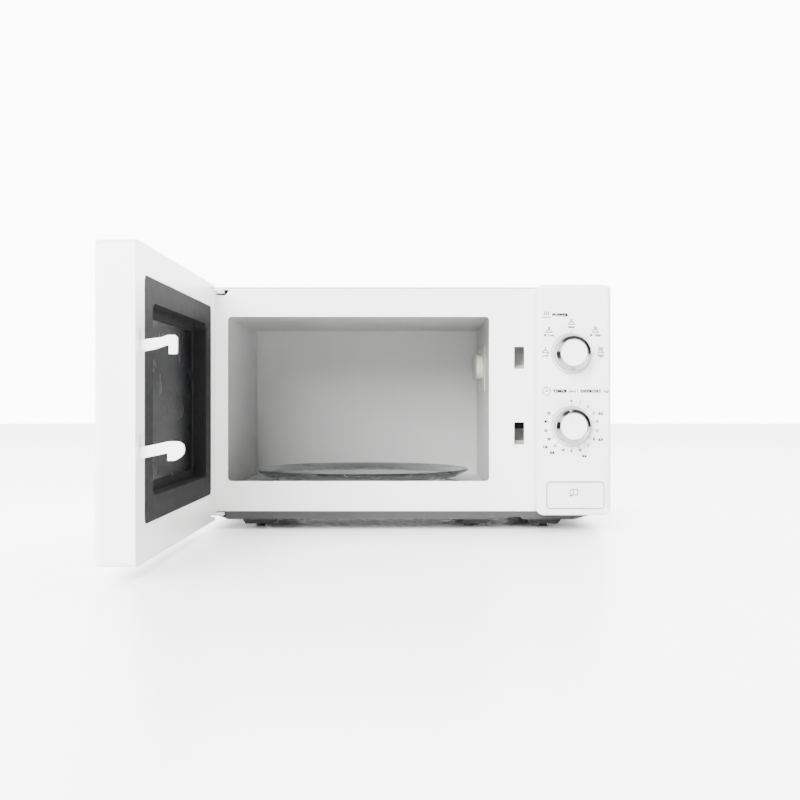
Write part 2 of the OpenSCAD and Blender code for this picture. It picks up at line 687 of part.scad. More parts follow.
// Shield over the way that the lower hook takes in
module slot_shield() {
    color([0.1, 0.1, 0.1])
        block(board_x0 + board_wall, board_x1 - board_wall, y_plate + 2, y_plate + 8.5, latch_zl + 4.6, latch_zl + 15);
}

module interlock_switches() {
    x = board_x1;
    w = 10;
    y0 = y_plate + 6;
    color([0.15, 0.15, 0.17])
    for (z = [latch_zl - 2, (latch_zl + latch_zu) / 2 - 6, latch_zu - 10]) {
        block(x, x + w, y0, y0 + 26, z, z + 15);
        for (y = [y0 + 4, y0 + 13, y0 + 22])
            block(x + 3, x + 7, y, y + 0.8, z - 6, z + cut);
        block(x + 3, x + 7, y0 + 2, y0 + 6, z + 15, z + 16.5);
    }
}

module release_lever() {
    tip_y0 = lever_y + 17;
    tip_y1 = lever_y + 19.5;
    tip_rise = 8.6;
    color([0.85, 0.85, 0.83]) union() {
        rod_x(lever_y, lever_z, board_x0 + 0.2, board_x1 - 0.2, lever_r);
        block(lever_x0, lever_x1, lever_y - 2.5, lever_y + 2.5, push_z0, lever_z);
        block(lever_x0, lever_x1, lever_y - 2.5, tip_y1, lever_z - 3, lever_z + 1.5);
        block(lever_x0, lever_x1, tip_y0, tip_y1, lever_z - 3, lever_z + tip_rise);
    }
}

module push_button() {
    half = button_w / 2;
    wall = 2;
    guide = 5;
    color([0.96, 0.96, 0.95]) difference() {
        union() {
            soft_slab(button_x - half, button_x + half, button_z0, button_z1, face_y - 2, button_y1, 3.5, 1.2);
            block(button_x - guide, button_x + guide, button_y1 - cut, y_plate + 2.2, button_zm - guide,
                button_zm + guide);
        }
        difference() {
            block(button_x - half + wall, button_x + half - wall, face_y + 1, button_y1 + cut,
                button_z0 + wall, button_z1 - wall);
            block(button_x - guide, button_x + guide, face_y, button_y1 + 2 * cut, button_zm - guide,
                button_zm + guide);
        }
    }
}

module button_arm() {
    y0 = y_plate + 2.2;
    y1 = lever_y - 3;
    color([0.85, 0.85, 0.83]) union() {
        block(lever_x0, button_x + 8, y0, y1, button_zm - 5, button_zm + 5);
        block(lever_x0, lever_x1, y0, y1, button_zm - 5, push_z1);
    }
}

module button_spring() {
    color([0.7, 0.7, 0.72]) translate([button_x + 19, 0, button_zm]) rotate([90, 0, 0])
        wire_stack(0, 0, -y_front, -face_y - 1, 4, 0.5, 7);
}

// ---------------------------------------------------------------- control panel and dials

module control_panel() {
    half = button_w / 2 + button_gap;
    hole = shaft_d / 2 + 1;
    color([0.95, 0.95, 0.94]) difference() {
        soft_slab(panel_x0, x_right, panel_low, z_top, face_y, y_front, corner_r, edge_r);
        block(panel_x0 + panel_wall, x_right - panel_wall, face_y + panel_wall, y_front + cut,
            panel_low + panel_wall, z_top - panel_wall);
        plate_y(button_x - half, button_x + half, button_z0 - button_gap, button_z1 + button_gap,
            face_y - cut, face_y + panel_wall + cut, 4.5);
        for (z = [power_z, timer_z]) {
            rod_y(dial_x, z, face_y - cut, face_y + panel_wall + cut, hole);
            // fine groove round the dial's bezel
            difference() {
                rod_y(dial_x, z, face_y - cut, face_y + 1.2, bezel_d / 2 + 0.7);
                rod_y(dial_x, z, face_y - 2 * cut, face_y + 2 * cut, bezel_d / 2 - 0.8);
            }
        }
    }
}

module knob_bezels() {
    r = bezel_d / 2;
    color([0.85, 0.85, 0.86]) for (z = [power_z, timer_z])
        translate([dial_x, face_y, z]) rotate([90, 0, 0]) difference() {
            cylinder(h = 3, r1 = r, r2 = r - 1);
            translate([0, 0, 1]) cylinder(h = 3, r = r - 2.4);
            translate([0, 0, -cut]) cylinder(h = 3, r = shaft_d / 2 + 1);
        }
}

// White core of a dial, with the flange that carries the ring
module knob_core(z) {
    r = knob_d / 2;
    face_r = r - 3.9;
    color([0.96, 0.96, 0.95]) translate([dial_x, 0, z]) rotate([90, 0, 0]) difference() {
        union() {
            translate([0, 0, -knob_y1]) cylinder(h = 3, r = r - 0.8);
            translate([0, 0, -knob_y1]) cylinder(h = knob_y1 - knob_y0 - 1, r = face_r - 0.3);
        }
        translate([0, 0, -knob_y1 - cut]) cylinder(h = 13 + cut, r = shaft_d / 2 + run_gap);
        translate([-0.7, face_r * 0.35, -knob_y0 - 1.5]) cube([1.4, face_r * 0.55, cut]);
    }
}

// Bevelled ring of a dial
module knob_ring(z) {
    r = knob_d / 2;
    face_r = r - 3.9;
    len = knob_y1 - knob_y0 - 3;
    color([0.82, 0.82, 0.84]) translate([dial_x, knob_y0, z]) rotate([-90, 0, 0]) rotate_extrude()
        polygon([[face_r, 0.6], [face_r + 0.3, 0], [face_r + 0.5, 0], [r - 0.1, 3.3], [r, 3.6], [r, len],
            [face_r, len]]);
}

// Shaft of a dial
module knob_shaft(z) {
    color([0.65, 0.65, 0.67]) rod_y(dial_x, z, knob_y1 - 13, unit_y1 - 8, shaft_d / 2);
}

module power_knob() { knob_core(power_z); }
module power_knob_ring() { knob_ring(power_z); }
module power_shaft() { knob_shaft(power_z); }
module timer_knob() { knob_core(timer_z); }
module timer_knob_ring() { knob_ring(timer_z); }
module timer_shaft() { knob_shaft(timer_z); }

module timer_unit() {
    half = unit_w / 2;
    bore = shaft_d / 2 + run_gap;
    color([0.8, 0.8, 0.78]) difference() {
        union() {
            for (z = [power_z, timer_z])
                plate_y(dial_x - half, dial_x + half, z - half, z + half, unit_y0, unit_y1, 5);
            block(dial_x - 12, dial_x + 12, unit_y0, unit_y0 + 4, timer_z, power_z);
            for (z = [power_z, timer_z], x = [dial_x - half + 4, dial_x + half - 4])
                rod_y(x, z + half - 5, y_plate, unit_y0 + cut, 3);
            rod_y(dial_x, timer_z - 4, unit_y1 - cut, unit_y1 + 9, 17);
        }
        for (z = [power_z, timer_z]) rod_y(dial_x, z, unit_y0 - cut, unit_y1 - 7.5, bore);
    }
}

// ---------------------------------------------------------------- machine bay

module waveguide() {
    y0 = -40;
    y1 = 85;
    half = 30;
    t = 1;
    color([0.75, 0.75, 0.76]) difference() {
        block(bay_x0, wave_x1, y0, y1, wave_z - half, wave_z + half);
        block(bay_x0 - cut, wave_x1 - t, y0 + t, y1 - t, wave_z - half + t, wave_z + half - t);
        rod_x(mag_y, wave_z, wave_x1 - t - cut, wave_x1 + cut, 11);
    }
}

module waveguide_cover() {
    rise = 8; // how far its middle stands into the cavity
    t = 0.6;
    zc = wave_z + 4;
    color([0.8, 0.78, 0.72]) difference() {
        union() {
            block(cav_x1 - t, cav_x1, -32, 92, wave_z - 26, wave_z + 26);
            translate([cav_x1 - rise, 0, 0]) rotate([90, 0, 90]) linear_extrude(height = rise)
                round_rect(-8, zc - 15, 84, zc + 15, 12);
        }
        translate([cav_x1 - rise + t, 0, 0]) rotate([90, 0, 90]) linear_extrude(height = rise + cut)
            round_rect(-8 + t, zc - 15 + t, 84 - t, zc + 15 - t, 12 - t);
    }
}

module magnetron_frame() {
    t = 1.5;
    half_y = 40;
    half_z = 37;
    x1 = wave_x1 + 54;
    color([0.68, 0.69, 0.7]) {
        difference() {
            block(wave_x1, x1, mag_y - half_y, mag_y + half_y, wave_z - half_z, wave_z + half_z);
            block(wave_x1 + t, x1 - t, mag_y - half_y - cut, mag_y + half_y + cut,
                wave_z - half_z + t, wave_z + half_z - t);
            rod_x(mag_y, wave_z, wave_x1 - cut, wave_x1 + t + cut, 11);
        }
        difference() {
            block(x1 - cut / 2, x1 + 20, mag_y - 28, mag_y + 28, wave_z - 24, wave_z + 24);
            block(x1 + t, x1 + 20 - t, mag_y - 28 + t, mag_y + 28 - t, wave_z - 24 + t, wave_z + 24 - t);
        }
    }
}

module magnetron_core() {
    t = 1.5;
    x0 = wave_x1 + t;
    x1 = wave_x1 + 54 - t;
    fins = 6;
    color([0.78, 0.5, 0.35]) union() {
        rod_x(mag_y, wave_z, x0, x1, 19);
        rod_x(mag_y, wave_z, x0, x0 + 9, 26);
        rod_x(mag_y, wave_z, x1 - 9, x1, 26);
        rod_x(mag_y, wave_z, bay_x0 + 5, x0 + cut, 7);
        for (i = [0 : fins - 1])
            translate([x0 + 13 + i * (x1 - x0 - 26.8) / (fins - 1), 0, 0])
                block(0, 0.8, mag_y - 34, mag_y + 34, wave_z - 33, wave_z + 33);
    }
}

tr_x = bay_x0 + 54; // middle of the transformer
tr_y = 8;
tr_z0 = base_z + sheet;

module transformer_core() {
    half_w = 42;
    half_d = 26;
    h = 70;
    leg = 14;
    color([0.4, 0.4, 0.42]) union() {
        difference() {
            block(tr_x - half_w, tr_x + half_w, tr_y - half_d, tr_y + half_d, tr_z0 + 3, tr_z0 + h);
            for (s = [-1, 1])
                block(tr_x + s * 21 - 7, tr_x + s * 21 + 7, tr_y - half_d - cut, tr_y + half_d + cut,
                    tr_z0 + 3 + leg, tr_z0 + h - leg);
        }
        block(tr_x - half_w, tr_x + half_w, tr_y - half_d - 12, tr_y + half_d + 12, tr_z0 + recess_lift,
            tr_z0 + 4.5);
    }
}

module transformer_windings() {
    half_d = 26;
    color([0.72, 0.4, 0.2])
    for (z = [[17.5, 30], [33, 55.5]]) difference() {
        plate_z(tr_x - 27.5, tr_x + 27.5, tr_y - half_d - 12, tr_y + half_d + 12, tr_z0 + z[0], tr_z0 + z[1], 8);
        block(tr_x - 14.2, tr_x + 14.2, tr_y - half_d - 0.2, tr_y + half_d + 0.2, tr_z0, tr_z0 + 60);
    }
}

cap_x = bay_x0 + 60; // middle of the capacitor
cap_y = y_front + 78;

module capacitor() {
    color([0.78, 0.79, 0.8]) union() {
        plate_z(cap_x - 16, cap_x + 16, cap_y - 26, cap_y + 26, tr_z0 + 2, tr_z0 + 60, 15.5);
        for (y = [cap_y - 10, cap_y + 10]) block(cap_x - 0.4, cap_x + 0.4, y - 3, y + 3, tr_z0 + 59, tr_z0 + 68);
    }
}

module capacitor_clamp() {
    t = 1;
    color([0.7, 0.7, 0.71]) difference() {
        union() {
            plate_z(cap_x - 16 - t, cap_x + 16 + t, cap_y - 26 - t, cap_y + 26 + t, tr_z0, tr_z0 + 16, 16.5);
            plate_z(cap_x - 8, cap_x + 8, cap_y - 38, cap_y + 32, tr_z0, tr_z0 + 1.2, 2);
        }
        plate_z(cap_x - 16 - slack, cap_x + 16 + slack, cap_y - 26 - slack, cap_y + 26 + slack, tr_z0 + 2,
            tr_z0 + 17, 15.5 + slack);
        rod_z(cap_x, cap_y - 33, tr_z0 - cut, tr_z0 + 2, 2.2);
    }
}

module air_duct() {
    y0 = y_rear - sheet - 40;
    y1 = y_rear - sheet;
    half = fan_r + 5;
    color([0.85, 0.85, 0.83]) difference() {
        plate_y(fan_x - half, fan_x + half, fan_z - half, fan_z + half, y0, y1, 6);
        rod_y(fan_x, fan_z, y0 - cut, y0 + 17, fan_r + 1.5);
        plate_y(fan_x - half + 2.5, fan_x + half - 2.5, fan_z - half + 2.5, fan_z + half - 2.5, y0 + 16,
            y1 + cut, 4);
    }
}

module fan_motor() {
    y1 = y_rear - sheet;
    bore = 1.6 + run_gap;
    color([0.45, 0.45, 0.47]) difference() {
        union() {
            plate_y(fan_x - 24, fan_x + 24, fan_z - 20, fan_z + 14, y1 - 16, y1 - 4, 3);
            plate_y(fan_x - 14, fan_x + 14, fan_z - 30, fan_z - 12, y1 - 20, y1 - 1, 4);
            rod_y(fan_x, fan_z, y1 - 20, y1 - 3, 9);
            block(fan_x - 43.5, fan_x + 43.5, y1 - 10, y1 - 8, fan_z - 6, fan_z + 6);
        }
        rod_y(fan_x, fan_z, y1 - 21, y1 - 5, bore);
    }
}

module fan_blade() {
    y0 = y_rear - sheet - 36;
    blades = 5;
    color([0.2, 0.2, 0.22]) union() {
        rod_y(fan_x, fan_z, y0, y0 + 14, 8);
        rod_y(fan_x, fan_z, y0 + 13, y_rear - sheet - 6, 1.6);
        for (i = [0 : blades - 1])
            translate([fan_x, y0 + 7, fan_z]) rotate([0, i * 360 / blades, 0])
                translate([0, 0, 5]) rotate([0, 0, 32]) translate([-9, -0.7, 0]) cube([18, 1.4, fan_r - 7]);
    }
}

module lamp_holder() {
    half = 15;
    t = 1;
    depth = 20;
    color([0.8, 0.8, 0.8]) difference() {
        union() {
            block(bay_x0, bay_x0 + depth, lamp_y - half, lamp_y + half, power_z - 22, power_z + 22);
            rod_x(lamp_y, power_z, bay_x0 + depth - cut, bay_x0 + depth + 14, 9);
        }
        block(bay_x0 - cut, bay_x0 + depth - t, lamp_y - half + t, lamp_y + half - t,
            power_z - 22 + t, power_z + 22 - t);
    }
}

module lamp_bulb() {
    color([0.95, 0.93, 0.85, 0.7])
        translate([bay_x0 + 1.5, lamp_y, power_z]) rotate([0, 90, 0]) rotate_extrude()
            polygon([[0, 0], [3, 0.6], [5.6, 2.4], [7.2, 5], [7.5, 8], [6.8, 11], [5, 13.5], [4.5, 17.5], [0, 17.5]]);
}

module turntable_motor() {
    top = track_z - sheet;
    h = 14;
    bore = 3 + run_gap;
    color([0.7, 0.7, 0.72]) difference() {
        union() {
            rod_z(cav_xm, cav_ym, top - h, top - 1, 24.5);
            plate_z(cav_xm - 33, cav_xm + 33, cav_ym - 7, cav_ym + 7, top - 2, top, 5);
            rod_z(cav_xm, cav_ym, top - 2, top, 7);
        }
        rod_z(cav_xm, cav_ym, top - 10, top + cut, bore);
    }
}

module noise_filter() {
    y1 = y_rear - sheet;
    z = z_top - 24;
    color([0.35, 0.55, 0.35]) union() {
        block(fan_x - 46, fan_x + 40, y1 - 48, y1, z, z + 1.6);
        block(fan_x - 36, fan_x - 14, y1 - 36, y1 - 12, z + 1, z + 15);
        rod_z(fan_x + 5, y1 - 24, z + 1, z + 13, 12);
        rod_y(fan_x + 30, z + 6, y1 - 40, y1 - 12, 3);
        block(fan_x + 28, fan_x + 32, y1 - 40, y1 - 37, z, z + 6);
        block(fan_x + 28, fan_x + 32, y1 - 15, y1 - 12, z, z + 6);
    }
}

// ---------------------------------------------------------------- turntable

module drive_coupler() {
    top = tray_z - 0.2;
    color([0.92, 0.91, 0.88]) union() {
        rod_z(cav_xm, cav_ym, track_z - sheet - 9, track_z + 3, 3);
        rod_z(cav_xm, cav_ym, track_z + 2, top - 4, 8);
        for (i = [0 : 2])
            translate([cav_xm, cav_ym, 0]) rotate([0, 0, 120 * i])
                plate_z(-3, 17, -5, 5, top - 5, top, 3);
    }
}

module glass_tray() {
    r = tray_d / 2;
    base_r = r - 14;
    lug_r = 10;
    z0 = tray_z;
    color([0.8, 0.88, 0.88, 0.5]) union() {
        translate([cav_xm, cav_ym, z0]) rotate_extrude($fn = 96)
            polygon([[0, 0], [base_r, 0], [r - 1.5, rim_h - glass_t + 1], [r, rim_h - 2], [r - 1, rim_h],
                [r - 3, rim_h - 0.4], [base_r - 2, glass_t], [0, glass_t]]);
        // lugs that sit between the arms of the coupler
        for (i = [0 : 2])
            translate([cav_xm, cav_ym, z0]) rotate([0, 0, 60 + 120 * i])
                translate([lug_r + 2, 0, -3.4]) cylinder(h = 3.4 + cut, r = 3.2);
    }
}

module roller_ring() {
    hub_r = 24;
    arm_h = 4;
    z0 = roller_z - arm_h / 2;
    color([0.9, 0.9, 0.88]) translate([cav_xm, cav_ym, 0]) union() {
        translate([0, 0, z0]) difference() {
            cylinder(h = arm_h, r = hub_r + 5);
            translate([0, 0, -cut]) cylinder(h = arm_h + 2 * cut, r = hub_r);
        }
        translate([0, 0, z0]) difference() {
            cylinder(h = arm_h, r = ring_r - roller_w / 2 - 2);
            translate([0, 0, -cut]) cylinder(h = arm_h + 2 * cut, r = ring_r - roller_w / 2 - 8);
        }
        for (i = [0 : 2]) rotate([0, 0, 90 + 120 * i]) {
            block(hub_r + 2, ring_r - roller_w / 2 - 4, -3, 3, z0, z0 + arm_h);
            rod_x(0, roller_z, ring_r - roller_w / 2 - 4, ring_r + roller_w / 2 + 2, 1.8);
            rod_x(0, roller_z, ring_r + roller_w / 2 + 0.4, ring_r + roller_w / 2 + 2, 2.8);
        }
    }
}

// One roller on the ring's stub axle
module roller(i) {
    color([0.85, 0.85, 0.83]) translate([cav_xm, cav_ym, 0]) rotate([0, 0, 90 + 120 * i]) difference() {
        rod_x(0, roller_z, ring_r - roller_w / 2, ring_r + roller_w / 2, roller_r);
        rod_x(0, roller_z, ring_r - roller_w, ring_r + roller_w, 1.8 + run_gap);
    }
}

module roller_1() { roller(0); }
module roller_2() { roller(1); }
module roller_3() { roller(2); }

// ---------------------------------------------------------------- pieces

base_plate();
front_plate();
cavity_wrap();
cavity_floor();
cavity_back();
cabinet_cover();
rear_panel();
control_panel();
knob_bezels();
feet();
hinge_upper();
hinge_lower();
hinge_screws();
rear_screws();
cord_gland();
waveguide();
waveguide_cover();
magnetron_frame();
magnetron_core();
transformer_core();
transformer_windings();
capacitor();
capacitor_clamp();
fan_motor();
air_duct();
lamp_bulb();
lamp_holder();
turntable_motor();
latch_board();
slot_shield();
interlock_switches();
timer_unit();
noise_filter();
button_spring();
door_frame();
door_window();
door_panel();
door_screen();
choke_cover();
choke_channel();
inner_film();
latch_spring();
latch_hooks();
power_knob();
power_knob_ring();
power_shaft();
timer_knob();
timer_knob_ring();
timer_shaft();
push_button();
button_arm();
release_lever();
drive_coupler();
glass_tray();
roller_ring();
roller_1();
roller_2();
roller_3();
fan_blade();
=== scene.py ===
"""A white counter-top microwave oven with its door open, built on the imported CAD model.

Every length is in metres in the row frame: +X right, +Y back, +Z up, with the oven standing on z = 0.
"""

import logging
import math
from dataclasses import dataclass, field
from enum import Enum
from typing import Iterable, Sequence

import bpy
from mathutils import Matrix, Vector


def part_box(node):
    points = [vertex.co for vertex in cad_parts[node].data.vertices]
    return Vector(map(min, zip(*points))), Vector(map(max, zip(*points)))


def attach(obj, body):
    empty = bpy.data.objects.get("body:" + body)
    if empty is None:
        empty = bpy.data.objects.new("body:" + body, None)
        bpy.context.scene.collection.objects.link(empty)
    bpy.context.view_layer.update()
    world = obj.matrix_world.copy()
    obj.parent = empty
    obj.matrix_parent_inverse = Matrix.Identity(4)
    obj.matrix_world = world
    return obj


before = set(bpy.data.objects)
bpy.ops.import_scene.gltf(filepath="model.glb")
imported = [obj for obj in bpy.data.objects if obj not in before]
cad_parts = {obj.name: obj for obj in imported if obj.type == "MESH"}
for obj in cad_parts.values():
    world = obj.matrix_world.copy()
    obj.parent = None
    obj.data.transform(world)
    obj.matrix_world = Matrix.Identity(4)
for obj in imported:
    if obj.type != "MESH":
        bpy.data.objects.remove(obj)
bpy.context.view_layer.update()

LOG = logging.getLogger("microwave")
MM = 0.001
# Height of a capital in the built-in typeface, against the size of its text
CAPITAL = 0.7
# Distance of pad printing from the face that it lies on, and between two strikes of a bold word
INK_GAP_MM = 0.04
STRIKE_GAP_MM = 0.01
# Widths of printed lines: ticks, drawn symbols and the strokes of the heading's symbol
TICK_LINE_MM = 0.6
SYMBOL_LINE_MM = 0.75
HEADING_LINE_MM = 0.9
Point = tuple[float, float]
Place = tuple[float, float, float]
Socket = bpy.types.NodeSocket


class Axis(Enum):
    """The direction that a brushed or drawn finish runs in."""

    X = 0
    Y = 1
    Z = 2


# ---------------------------------------------------------------- node helpers


def linear(hex_colour: str, alpha: float = 1.0) -> tuple[float, float, float, float]:
    """Turns an sRGB hex colour into the linear colour that shaders take.

    Args:
        hex_colour: six hex digits after a hash sign.
        alpha: opacity from 0 to 1.

    Returns:
        Linear red, green, blue and alpha.
    """
    parts = [int(hex_colour[i : i + 2], 16) / 255 for i in (1, 3, 5)]
    lin = [c / 12.92 if c <= 0.04045 else ((c + 0.055) / 1.055) ** 2.4 for c in parts]
    return (lin[0], lin[1], lin[2], alpha)


@dataclass
class Tree:
    """A material's node tree under construction."""

    nodes: bpy.types.NodeTree

    def add(self, kind: str, settings: dict | None = None, values: dict | None = None) -> bpy.types.Node:
        """Adds one node, sets its properties, then sets or links its inputs.

        Args:
            kind: the node's type name.
            settings: property name to value.
            values: input name or index to a constant, or to an output socket that is linked in.

        Returns:
            The new node.
        """
        node = self.nodes.nodes.new(kind)
        for key, value in (settings or {}).items():
            setattr(node, key, value)
        for key, value in (values or {}).items():
            if isinstance(value, bpy.types.NodeSocket):
                self.nodes.links.new(value, node.inputs[key])
            else:
                node.inputs[key].default_value = value
        return node

    def place(self) -> Socket:
        """Returns the place on the object, in metres in the row frame at rest."""
        return self.add("ShaderNodeTexCoord").outputs["Object"]

    def noise(self, size_mm: float, detail: float = 2.0, stretch: Place | None = None) -> Socket:
        """Returns noise from 0 to 1.

        Args:
            size_mm: size of one speck in millimetres.
            detail: octaves of finer noise.
            stretch: how many times closer the specks lie along X, Y and Z.

        Returns:
            The noise's factor output.
        """
        where = self.place()
        if stretch:
            where = self.add("ShaderNodeMapping", values={"Vector": where, "Scale": stretch}).outputs[0]
        node = self.add("ShaderNodeTexNoise", values={"Vector": where, "Scale": 1 / (size_mm * MM), "Detail": detail})
        return node.outputs[0]

    def spread(self, factor: Socket, low: float, high: float) -> Socket:
        """Maps a factor from 0..1 to another range.

        Args:
            factor: the factor's socket.
            low: the result at 0.
            high: the result at 1.

        Returns:
            The result's socket.
        """
        values = {"Value": factor, "To Min": low, "To Max": high}
        return self.add("ShaderNodeMapRange", values=values).outputs["Result"]

    def tint(self, factor: Socket, dark: str, light: str) -> Socket:
        """Blends between two sRGB hex colours by a factor.

        Args:
            factor: the factor's socket.
            dark: the colour at 0.
            light: the colour at 1.

        Returns:
            The colour's socket.
        """
        values = {0: factor, 6: linear(dark), 7: linear(light)}
        return self.add("ShaderNodeMix", {"data_type": "RGBA"}, values).outputs[2]

    def relief(self, height: Socket, depth_mm: float, edge_mm: float) -> Socket:
        """Returns a normal with fine relief on edges that are slightly rounded.

        Args:
            height: the height from 0 to 1.
            depth_mm: how deep the relief is.
            edge_mm: radius of the softened edges.

        Returns:
            The bump node's normal output.
        """
        soft = self.add("ShaderNodeBevel", {"samples": 6}, {"Radius": edge_mm * MM}).outputs[0]
        values = {"Height": height, "Distance": depth_mm * MM, "Strength": 1.0, "Normal": soft}
        return self.add("ShaderNodeBump", values=values).outputs[0]


# ---------------------------------------------------------------- finishes


@dataclass(frozen=True)
class Finish:
    """One real material with its surface treatment."""

    name: str
    colour: str
    roughness: float = 0.4
    metallic: float = 0.0

    def build(self) -> bpy.types.Material:
        """Makes the material, once per name.

        Returns:
            The Blender material.
        """
        known = bpy.data.materials.get(self.name)
        if known:
            return known
        material = bpy.data.materials.new(self.name)
        material.use_nodes = True
        material.node_tree.nodes.clear()
        tree = Tree(material.node_tree)
        values = {"Base Color": linear(self.colour), "Roughness": self.roughness, "Metallic": self.metallic}
        shader = tree.add("ShaderNodeBsdfPrincipled", values=values)
        self.surface(tree, shader)
        tree.add("ShaderNodeOutputMaterial", values={"Surface": self.output(tree, shader)})
        material.diffuse_color = linear(self.colour)
        return material

    def surface(self, tree: Tree, shader: bpy.types.Node) -> None:
        """Adds the finish's own colour variation, roughness and relief.

        Args:
            tree: the material's node tree.
            shader: the surface shader.
        """

    def output(self, tree: Tree, shader: bpy.types.Node) -> Socket:
        """Returns the socket that goes to the material's output.

        Args:
            tree: the material's node tree.
            shader: the surface shader.

        Returns:
            The shader's own socket, unless a finish lets light straight through.
        """
        return shader.outputs[0]

    @staticmethod
    def link(tree: Tree, shader: bpy.types.Node, **sockets: Socket) -> None:
        """Links sockets to shader inputs.

        Args:
            tree: the material's node tree.
            shader: the surface shader.
            **sockets: each input's name, with underscores for spaces, and what goes into it.
        """
        for key, socket in sockets.items():
            tree.nodes.links.new(socket, shader.inputs[key.replace("_", " ")])


@dataclass(frozen=True)
class PowderCoat(Finish):
    """Stove enamel or powder coat on steel: a glossy skin with a faint orange peel."""

    shade: str = "#FFFFFF"
    peel_mm: float = 2.2
    depth_mm: float = 0.012

    def surface(self, tree: Tree, shader: bpy.types.Node) -> None:
        """Adds slow colour drift, orange peel and a thin clear coat."""
        drift = tree.noise(60.0, 3.0)
        peel = tree.noise(self.peel_mm, 2.0)
        self.link(
            tree, shader,
            Base_Color=tree.tint(drift, self.colour, self.shade),
            Roughness=tree.spread(tree.noise(9.0, 3.0), self.roughness - 0.05, self.roughness + 0.07),
            Normal=tree.relief(peel, self.depth_mm, 0.5),
        )
        shader.inputs["Coat Weight"].default_value = 0.25
        shader.inputs["Coat Roughness"].default_value = 0.18


@dataclass(frozen=True)
class Moulded(Finish):
    """Injection-moulded plastic with a fine spark-eroded grain."""

    shade: str = "#FFFFFF"
    grain_mm: float = 0.35
    depth_mm: float = 0.012
    edge_mm: float = 0.6
    subsurface: float = 0.0
    gloss: float = 0.5

    def surface(self, tree: Tree, shader: bpy.types.Node) -> None:
        """Adds grain, faint flow marks and wear in the gloss."""
        grain = tree.noise(self.grain_mm, 1.0)
        flow = tree.noise(45.0, 4.0, (1.0, 1.0, 2.5))
        self.link(
            tree, shader,
            Base_Color=tree.tint(flow, self.colour, self.shade),
            Roughness=tree.spread(tree.noise(14.0, 4.0), self.roughness - 0.05, self.roughness + 0.06),
            Normal=tree.relief(grain, self.depth_mm, self.edge_mm),
        )
        shader.inputs["Specular IOR Level"].default_value = self.gloss
        shader.inputs["Subsurface Weight"].default_value = self.subsurface
        shader.inputs["Subsurface Radius"].default_value = (0.002, 0.002, 0.0018)


@dataclass(frozen=True)
class ZincSheet(Finish):
    """Zinc-coated steel sheet: crystal spangle over rolling lines."""

    shade: str = "#B6B8B9"
    spangle_mm: float = 9.0

    def surface(self, tree: Tree, shader: bpy.types.Node) -> None:
        """Adds the spangle's patches and the faint rolling lines."""
        values = {"Vector": tree.place(), "Scale": 1 / (self.spangle_mm * MM)}
        cells = tree.add("ShaderNodeTexVoronoi", values=values).outputs["Color"]
        patch = tree.add("ShaderNodeSeparateColor", values={"Color": cells}).outputs[0]
        self.link(
            tree, shader,
            Base_Color=tree.tint(patch, self.colour, self.shade),
            Roughness=tree.spread(patch, self.roughness - 0.08, self.roughness + 0.1),
            Normal=tree.relief(tree.noise(1.4, 2.0, (0.15, 1.0, 1.0)), 0.01, 0.3),
        )


@dataclass(frozen=True)
class Turned(Finish):
    """Turned or brushed metal, or satin plating: fine lines along one axis."""

    shade: str = "#D8D8DA"
    line_mm: float = 0.5
    axis: Axis = Axis.Y

    def surface(self, tree: Tree, shader: bpy.types.Node) -> None:
        """Adds the fine lines to the roughness and the relief."""
        stretch = tuple(0.05 if i == self.axis.value else 1.0 for i in range(3))
        lines = tree.noise(self.line_mm, 2.0, stretch)
        self.link(
            tree, shader,
            Base_Color=tree.tint(lines, self.colour, self.shade),
            Roughness=tree.spread(lines, self.roughness - 0.06, self.roughness + 0.06),
            Normal=tree.relief(lines, 0.004, 0.25),
        )


@dataclass(frozen=True)
class ClearGlass(Finish):
    """Toughened soda-lime glass with a faint tint and slight waviness."""

    clear: float = 0.5
    wave_mm: float = 0.02

    def surface(self, tree: Tree, shader: bpy.types.Node) -> None:
        """Makes the glass transmit light through a slightly wavy surface."""
        self.link(tree, shader, Normal=tree.relief(tree.noise(22.0, 1.0), self.wave_mm, 0.4))
        self.link(tree, shader, Roughness=tree.spread(tree.noise(6.0, 3.0), self.roughness, self.roughness + 0.05))
        shader.inputs["Transmission Weight"].default_value = 1.0
        shader.inputs["IOR"].default_value = 1.5

    def output(self, tree: Tree, shader: bpy.types.Node) -> Socket:
        """Lets light through thin glass without darkening it at every bounce."""
        through = tree.add("ShaderNodeBsdfTransparent", values={"Color": linear(self.colour)}).outputs[0]
        return tree.add("ShaderNodeMixShader", values={0: self.clear, 1: shader.outputs[0], 2: through}).outputs[0]


@dataclass(frozen=True)
class SmokedSheet(Finish):
    """A smoked film or dark printed pane that lets a part of the light straight through."""

    clear: float = 0.35

    def surface(self, tree: Tree, shader: bpy.types.Node) -> None:
        """Adds faint ripples and wipe marks to the gloss."""
        self.link(
            tree, shader,
            Roughness=tree.spread(tree.noise(30.0, 5.0), self.roughness, self.roughness + 0.12),
            Normal=tree.relief(tree.noise(40.0, 2.0), 0.03, 0.3),
        )

    def output(self, tree: Tree, shader: bpy.types.Node) -> Socket:
        """Lets part of the light straight through."""
        through = tree.add("ShaderNodeBsdfTransparent", values={"Color": linear("#9A9C9E")}).outputs[0]
        values = {0: self.clear, 1: shader.outputs[0], 2: through}
        return tree.add("ShaderNodeMixShader", values=values).outputs[0]


